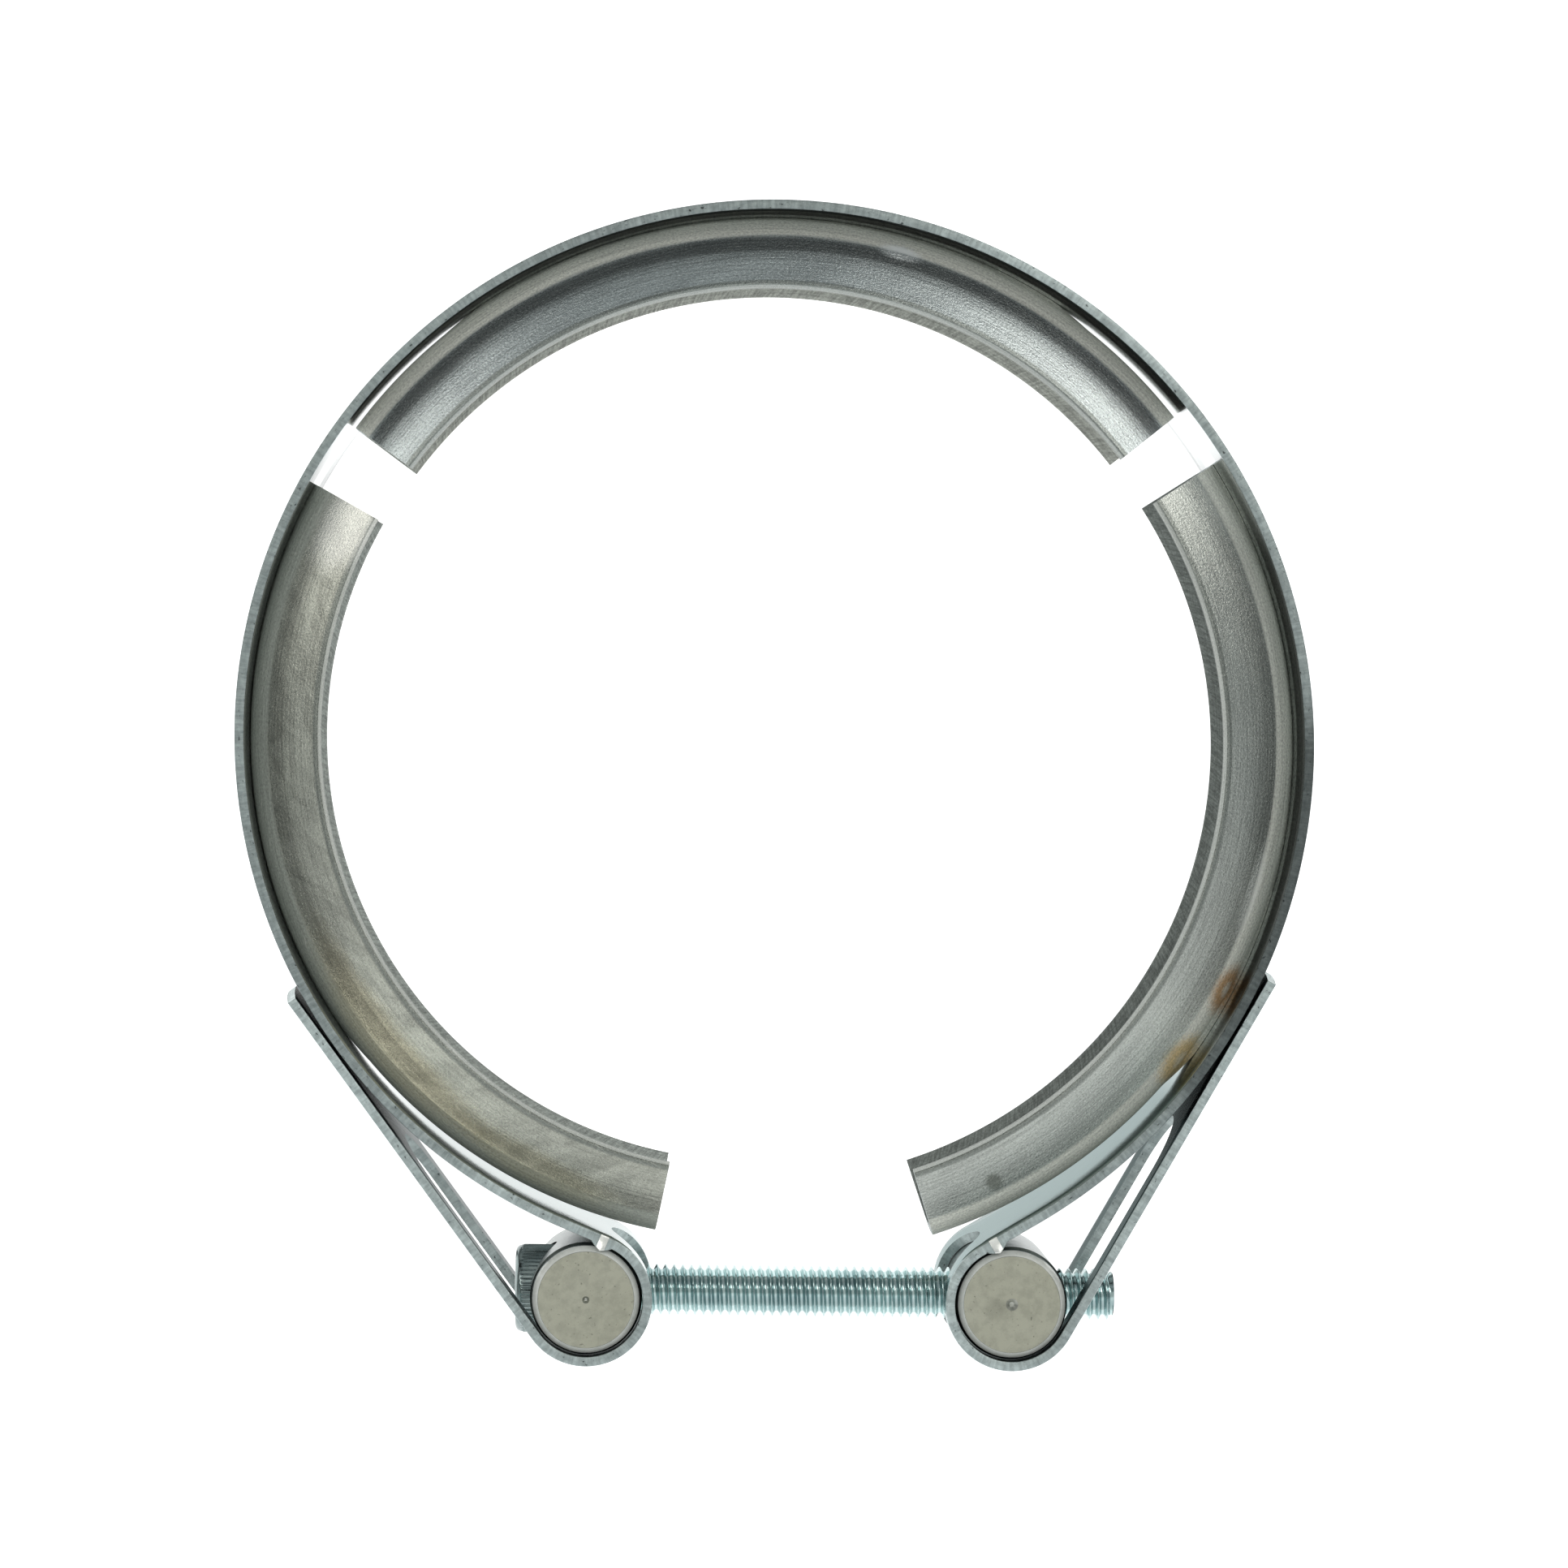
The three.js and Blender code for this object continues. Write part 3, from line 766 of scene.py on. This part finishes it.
def add_strip(name):
    """One end of the strip, from the top to the end of its leg."""
    side = ARMS[name]["side"]
    path = arm_path(**ARMS[name])
    distance, at, left = resampled(path)
    half = slot_half(distance, path)
    points, faces, kinds, uvs = [], [], [], []
    for z_side in (1, -1):
        surface = strip_surface(distance, half, path, side, z_side, len(points))
        for whole, part in zip((faces, kinds, uvs), surface):
            whole += part
        points += list(strip_sections(distance, at, left, path, side, z_side).reshape(-1, 3))
    piece = make_mesh(f"strip_{name}", points, faces, [FACE, EDGE, STAKE], kinds, uvs, 35)
    weld(piece.data, 35)
    bend_strip(piece)
    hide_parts(f"band_{name}_arm", f"band_{name}_loop", *(["band_top"] if side > 0 else []))


# ---------------------------------------------------------------- segments

def shoulder(radius, bend_radius, steps=9):
    centre = np.array([radius - SHOULDER_RADIUS, BASE_HALF_WIDTH])
    turns = np.linspace(0, math.pi / 2 - FLANK_ANGLE, steps)
    return [centre + bend_radius * direction(turn) for turn in turns]


def rounded_lip(a, corner_a, corner_b, b, steps=4):
    """Points round the two corners of a lip, each cut off over a short reach."""
    points = []
    for before, corner, after in ((a, corner_a, corner_b), (corner_a, corner_b, b)):
        start = corner + (before - corner) / np.linalg.norm(before - corner) * LIP_ROUNDING
        end = corner + (after - corner) / np.linalg.norm(after - corner) * LIP_ROUNDING
        for t in np.linspace(0, 1, steps):
            points.append((1 - t) ** 2 * start + 2 * t * (1 - t) * corner + t**2 * end)
    return points


def half_channel(radius):
    """Half of the channel's section as (radius, height from the middle), from the outside of its base
    round the lip to the inside of its base."""
    outer = shoulder(radius, SHOULDER_RADIUS)
    inner = shoulder(radius, SHOULDER_RADIUS - SEGMENT_THICKNESS)
    lip = radius - SEGMENT_DEPTH

    def down_flank(start, reach):
        return np.array([reach, start[1] + (start[0] - reach) * math.tan(FLANK_ANGLE)])

    outer_lip = down_flank(outer[-1], lip + SEGMENT_THICKNESS * math.sin(FLANK_ANGLE))
    inner_lip = down_flank(inner[-1], lip)
    flank = [outer[-1] + (outer_lip - outer[-1]) * t for t in np.linspace(0, 0.9, 7)[1:]]
    flank_back = [inner_lip + (inner[-1] - inner_lip) * t for t in np.linspace(0.1, 1, 7)[:-1]]
    return np.array(outer + flank + rounded_lip(outer[-1], outer_lip, inner_lip, inner[-1])
                    + flank_back + inner[::-1])


def strip_circle(name):
    """The centre and inner radius of the strip's arc behind a segment."""
    if name == "top":
        return np.zeros(2), TOP_RADIUS - THICKNESS
    arm = ARMS[name]
    offset = (TOP_RADIUS - arm["radius"]) * direction(arm["flex"])
    return offset * (arm["side"], 1), arm["radius"] - THICKNESS


def foot_reach(name, turns):
    """How far the base reaches out at each angle to bear on the strip."""
    place = SEGMENTS[name]
    centre, inner = strip_circle(name)
    outer = np.array([place["centre"] + place["radius"] * direction(turn) for turn in turns])
    gap = inner - np.linalg.norm(outer - centre, axis=1)
    low, high = place["bears"]
    inside = np.minimum(np.degrees(turns) - low, high - np.degrees(turns))
    return np.clip(gap, 0, FOOT_REACH) * np.clip(inside / FOOT_FADE + 1, 0, 1)


def segment_sections(name, turns, profile):
    """The channel's section at each angle, with the middle of its base reaching out to the strip."""
    place = SEGMENTS[name]
    outward = np.stack([np.cos(turns), np.sin(turns)], axis=1)
    sections = np.zeros((len(turns), len(profile), 3))
    sections[:, :, :2] = RING + np.array(place["centre"]) + outward[:, None] * profile[None, :, :1]
    sections[:, :, 2] = WIDTH / 2 + profile[:, 1]
    foot = foot_reach(name, turns)
    for column in (0, -1):
        sections[:, column, :2] += foot[:, None] * outward
    return sections


def add_segment(name, material):
    place = SEGMENTS[name]
    half = half_channel(place["radius"])
    profile = np.vstack([half, half[::-1] * (1, -1)])
    first, last = (math.radians(place["middle"] + s * place["span"] / 2) for s in (1, -1))
    turns = np.linspace(first, last, SEGMENT_ROWS)
    u = np.append(turns, turns[-1]) * place["radius"] / 10
    across = along(half) / 10
    base_inside, base_outside = (across[-1], across[-1] + 0.3), (-0.15, 0.15)
    v = [*pairs(across), base_inside, *pairs(-across[::-1]), base_outside]
    sections = segment_sections(name, turns, profile)
    points, faces, kinds, uvs = sweep(sections, u, v, [0] * len(profile))
    for row in (0, len(turns) - 1):
        faces.append([row * len(profile) + j for j in range(len(profile))])
        kinds.append(1)
        uvs += [(u[row] + r / 10, h / 10) for r, h in profile]
    piece = make_mesh(f"segment_{name}", points, faces, [material, EDGE], kinds, uvs, 40)
    weld(piece.data, 40)
    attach(piece, place["body"])
    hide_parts(f"v_segment_{name}")


# ---------------------------------------------------------------- trunnions and screw

# A trunnion face's kind is its place in the list of the trunnion's materials.
TURNED, BRIGHT_CUT, PAINTED_SHADE_LEDGE, DIMPLED = range(4)


def trunnion_end(dimple):
    """(radius, depth below the end) from the middle of a dimpled end, over its chamfer, to the ledge."""
    r, c = TRUNNION_RADIUS, TRUNNION_CHAMFER
    dished = [(0, 0.4), (dimple * 0.4, 0.34), (dimple * 0.85, 0.1), (dimple, 0)]
    face = [(2.5, 0), (4.2, 0), (r - c - 0.02, 0)]
    chamfer = [(r - c + 0.03, 0.03), (r - 0.06, c - 0.04), (r, c + 0.08)]
    return dished + face + chamfer + [(r, LEDGE_DEPTH), (LEDGE_RADIUS, LEDGE_DEPTH + 0.1)]


def trunnion_kind(near, far, dimple):
    """The kind of the faces between two radii of the profile."""
    if max(near, far) <= dimple:
        return DIMPLED
    if {near, far} == {TRUNNION_RADIUS, LEDGE_RADIUS}:
        return PAINTED_SHADE_LEDGE
    if abs(near - far) > 0.3 and min(near, far) > TRUNNION_RADIUS - TRUNNION_CHAMFER - 0.1:
        return BRIGHT_CUT
    return TURNED


def add_trunnion(name, node_name, body, axis, dimple, cutters):
    low, high = (corner.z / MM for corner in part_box(node_name))
    end = trunnion_end(dimple)
    upper = [(radius, high - depth) for radius, depth in end]
    lower = [(radius, low + depth) for radius, depth in reversed(end)]
    profile = upper + [(LEDGE_RADIUS, (low + high) / 2)] + lower
    kinds = [trunnion_kind(near, far, dimple) for (near, _), (far, _) in pairs(profile)]
    piece = turned(name, profile, 160, [TRUNNION, CHAMFER, GAP_SHADE, DIMPLE], kinds, axis, sharp=22)
    bored(piece, cutters, sharp=22)
    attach(piece, body)
    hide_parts(node_name)


def add_trunnions():
    clear = TRUNNION_RADIUS + 2
    hole = [(0, -clear), (PLAIN_HOLE, -clear), (PLAIN_HOLE, clear), (0, clear)]
    seat = [(0, -clear), (SEAT_RADIUS, -clear), (SEAT_RADIUS, -SEAT_DEPTH), (0, -SEAT_DEPTH)]
    bore = [(0, -clear), (THREADED_HOLE, -clear), (THREADED_HOLE, clear), (0, clear)]
    add_trunnion("trunnion_with_seat", "trunnion_plain", "plain_trunnion", PLAIN_AXIS, dimple=0.42,
                 cutters=[lying_cutter(cut, PLAIN_AXIS, TRUNNION) for cut in (hole, seat)])
    add_trunnion("trunnion_with_thread", "trunnion_threaded", "threaded_trunnion", THREADED_AXIS, dimple=0.7,
                 cutters=[lying_cutter(bore, THREADED_AXIS, TRUNNION)])


def ring_about_screw(x, radius, turns, axis_y):
    """A ring of points about the screw's line. The radius is one number, or one for each turn."""
    y = axis_y + radius * np.cos(turns)
    z = WIDTH / 2 + radius * np.sin(turns)
    return list(zip(np.full(len(turns), x), y, z))


def ring_faces(rings, steps, first=0, flipped=False):
    """Faces between rings that follow one another, from the point numbered first."""
    faces = []
    for level, i in itertools.product(range(rings - 1), range(steps)):
        a, b = (first + level * steps + k for k in (i, (i + 1) % steps))
        faces.append((a, a + steps, b + steps, b) if flipped else (a, b, b + steps, a + steps))
    return faces


def thread_points(start, end, axis_y, count):
    """The thread's profile at each step of its right-hand helix along X, kept between start and end."""
    crest, root = MAJOR_RADIUS, MAJOR_RADIUS - THREAD_DEPTH
    profile = [(-0.07, crest - THREAD_EASE), (0.0, crest), (0.07, crest - THREAD_EASE),
               (0.36, root + THREAD_EASE), (0.5, root), (0.64, root + THREAD_EASE)]
    points = []
    for step, (offset, radius) in itertools.product(range(count + 1), profile):
        turn = 2 * math.pi * step / THREAD_STEPS
        x = start + PITCH * (step / THREAD_STEPS - 1.5) + offset
        r = min(radius, crest - THREAD_END_SLOPE * max(0, x - (end - THREAD_END_BEVEL)))
        points.append((min(max(x, start), end), axis_y + r * math.cos(turn), WIDTH / 2 + r * math.sin(turn)))
    return points, len(profile)


def thread_faces(columns, count):
    """Faces along the helix. The profile's last column joins its first, one turn later."""
    faces = []
    for i, j in itertools.product(range(count - THREAD_STEPS), range(columns)):
        near = i * columns + j
        far = near + 1 if j < columns - 1 else (i + THREAD_STEPS) * columns
        faces.append((near, far, far + columns, near + columns))
    return faces


def thread_mesh(start, end, axis_y):
    """A right-hand M6 thread along X, closed by its end face."""
    count = int((end - start) / PITCH + 3) * THREAD_STEPS
    points, columns = thread_points(start, end, axis_y, count)
    faces = thread_faces(columns, count)
    rim = len(points)
    turns = np.linspace(0, 2 * math.pi, THREAD_STEPS, endpoint=False)
    end_rings = ((end, 2.55), (end, 1.9), (end - 0.1, 0.6))
    for x, radius in end_rings:
        points += ring_about_screw(x, radius, turns, axis_y)
    faces += ring_faces(len(end_rings), THREAD_STEPS, rim)
    faces.append([len(points) - THREAD_STEPS + i for i in range(THREAD_STEPS)])
    return points, faces


def head_mesh(bearing, axis_y):
    """The knurled head with its hex socket, turned about X."""
    steps = KNURL_RIDGES * KNURL_STEPS
    turns = np.linspace(0, 2 * math.pi, steps, endpoint=False)
    ridge = 0.5 + 0.5 * np.cos(KNURL_RIDGES * turns)
    hexagon = SOCKET_APOTHEM / np.cos((turns % (math.pi / 3)) - math.pi / 6)
    knurled = HEAD_RADIUS - KNURL_DEPTH * (1 - ridge)
    bottom = HEAD_HEIGHT - SOCKET_DEPTH
    bearing_face = [(0, 2.9), (0, 4.7), (0.15, 4.92)]
    side = [(0.3, knurled - 0.06), *((back, knurled) for back in (0.5, 2, 3.5, 5.0))]
    rim = [(5.2, knurled * 0.3 + 0.7 * 5.02), (5.35, 5.02), (5.6, 4.95), (5.82, 4.78), (5.95, 4.55)]
    top = [(HEAD_HEIGHT, 4.3), (HEAD_HEIGHT, 3.5), (HEAD_HEIGHT - 0.02, 3.05)]
    socket = [(HEAD_HEIGHT - 0.2, hexagon), (bottom, hexagon), (bottom - 0.4, 1.2), (bottom - 0.7, 0.05)]
    rings = bearing_face + side + rim + top + socket
    points = []
    for back, radius in rings:
        points += ring_about_screw(bearing - back, radius, turns, axis_y)
    return points, ring_faces(len(rings), steps, flipped=True)


def add_screw():
    low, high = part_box("clamp_screw")
    bearing = low.x / MM + HEAD_HEIGHT
    axis_y = PLAIN_AXIS[1]
    points, faces = thread_mesh(bearing, high.x / MM, axis_y)
    shank = make_mesh("screw_thread", points, faces, [ZINC], sharp=30)
    weld(shank.data, 28, 2e-6)
    points, faces = head_mesh(bearing, axis_y)
    head = make_mesh("screw_head", points, faces, [SHADED_HEAD_ZINC], sharp=32)
    weld(head.data, 32, 2e-6)
    for piece in (shank, head):
        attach(piece, "screw")
    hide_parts("clamp_screw")


# ---------------------------------------------------------------- setting

FLOOR_HALF_SIDE = 3000.0
FLOOR_GAP = 0.4 * MM
WARM_WHITE = (1.0, 0.965, 0.92)
SOFTBOX_DISTANCE = 0.8
SOFTBOX_ELEVATION = math.radians(50)
SEGMENT_LOOKS = {
    "top": dict(
        body_tone=(0.66, 0.72, 0.72), shoulder_tone=(0.92, 0.93, 0.85), inside_tone=(0.62, 0.64, 0.59),
        painted_dark_reflection=0.5, wear=0.15, stains_and_highlights=[
            # Painted highlight: a glossy white spot at the end of the shoulder.
            dict(at=(7.86, 0.37), size=(0.36, 0.13), colour=(0.82, 0.86, 0.86), strength=0.9, blend="MIX")]),
    "left": dict(
        body_tone=(0.64, 0.65, 0.57), shoulder_tone=(0.46, 0.49, 0.44), inside_tone=(0.58, 0.62, 0.59),
        painted_dark_reflection=0.2, wear=0.55, stains_and_highlights=[
            dict(at=(22.6, 0.45), size=(2.2, 0.4), colour=(1.0, 0.86, 0.62), strength=0.5),
            dict(at=(24.9, 0.4), size=(1.4, 0.3), colour=(1.0, 0.90, 0.70), strength=0.5),
            # Painted highlight: a bright patch of reflection near the upper end.
            dict(at=(15.7, 0.72), size=(0.9, 0.5), colour=(0.86, 0.86, 0.82), strength=0.5, blend="MIX")]),
    "right": dict(
        body_tone=(0.72, 0.75, 0.70), shoulder_tone=(0.92, 0.94, 0.86), inside_tone=(0.34, 0.37, 0.35),
        painted_dark_reflection=0.08, wear=0.12, stains_and_highlights=[
            dict(at=(-2.93, 0.16), size=(0.46, 0.3), colour=(0.66, 0.38, 0.18), strength=0.9, core=0.35),
            dict(at=(-3.92, 0.16), size=(0.52, 0.32), colour=(0.86, 0.64, 0.34), strength=0.9, core=0.5),
            # Painted highlight: a lens-shaped whitish oval on the shoulder.
            dict(at=(-1.75, 0.38), size=(0.8, 0.11), colour=(0.86, 0.88, 0.84), strength=0.7, blend="MIX"),
            dict(at=(-6.59, 0.5), size=(0.15, 0.17), colour=(0.45, 0.46, 0.43), strength=0.8)]),
}


def add_floor():
    corners = np.array([(-1, -1, 0), (1, -1, 0), (1, 1, 0), (-1, 1, 0)]) * FLOOR_HALF_SIDE
    floor = make_mesh("floor", corners, [(0, 1, 2, 3)], [])
    floor.location.z = -FLOOR_GAP
    material = bpy.data.materials.new("floor")
    material.use_nodes = True
    shader = material.node_tree.nodes["Principled BSDF"]
    shader.inputs["Base Color"].default_value = (0.6, 0.6, 0.6, 1)
    shader.inputs["Roughness"].default_value = 0.9
    shader.inputs["Emission Color"].default_value = (1, 1, 1, 1)
    shader.inputs["Emission Strength"].default_value = 1.05
    floor.data.materials.append(material)


def add_world():
    """A pale dome: brightest near the horizon and on the side of the screw, greyer overhead."""
    world = bpy.data.worlds.new("studio")
    bpy.context.scene.world = world
    world.use_nodes = True
    tree = world.node_tree
    place = node(tree, "ShaderNodeSeparateXYZ", {"Vector": coordinates(tree, "Generated")})
    overhead = [(0.0, (0.6, 0.6, 0.58)), (0.45, (0.30, 0.32, 0.32)), (0.8, (0.34, 0.37, 0.38)),
                (0.97, (0.62, 0.64, 0.62))]
    glow = ramp(tree, place.outputs["Z"], overhead, "EASE")
    toward_screw = node(tree, "ShaderNodeMapRange", {
        "Value": place.outputs["Y"], "From Min": -0.06, "From Max": -0.28, "To Max": 0.55},
        interpolation_type="SMOOTHSTEP")
    background = tree.nodes["Background"]
    lit = mix(tree, 1.0, glow, grey(tree, toward_screw.outputs[0]), "ADD")
    tree.links.new(lit, background.inputs["Color"])
    background.inputs["Strength"].default_value = 1.0


def add_light(name, azimuth, size, power):
    """A rectangular softbox that faces the middle of the clamp."""
    light = bpy.data.lights.new(name, "AREA")
    light.shape = "RECTANGLE"
    light.size, light.size_y = size
    light.energy = power
    light.color = WARM_WHITE
    lamp = bpy.data.objects.new(name, light)
    bpy.context.scene.collection.objects.link(lamp)
    level = SOFTBOX_DISTANCE * math.cos(SOFTBOX_ELEVATION)
    height = SOFTBOX_DISTANCE * math.sin(SOFTBOX_ELEVATION)
    at = Vector((*(level * direction(math.radians(azimuth))), height))
    lamp.location = at
    lamp.rotation_mode = "QUATERNION"
    lamp.rotation_quaternion = (-at).to_track_quat("-Z", "Y")


def add_camera():
    """Looks straight down, turned a little. The shift frames the ring, which lies to one side of the axis."""
    camera = bpy.data.objects.new("camera", bpy.data.cameras.new("camera"))
    bpy.context.scene.collection.objects.link(camera)
    camera.data.sensor_width = 36
    camera.data.lens = LENS
    camera.data.shift_x, camera.data.shift_y = CAMERA_SHIFT
    camera.data.clip_start = 0.01
    camera.location = Vector(CAMERA_AT) * MM
    camera.rotation_euler.z = CAMERA_TURN
    bpy.context.scene.camera = camera


for arm in ARMS:
    add_strip(arm)
for segment, look in SEGMENT_LOOKS.items():
    add_segment(segment, segment_material(f"segment_{segment}", **look))
add_trunnions()
add_screw()
add_floor()
add_world()
add_light("right_softbox", azimuth=45, size=(0.17, 0.45), power=1.2)
add_light("left_softbox", azimuth=145, size=(0.24, 0.45), power=0.8)
add_camera()
bpy.context.scene.view_settings.view_transform = "Standard"
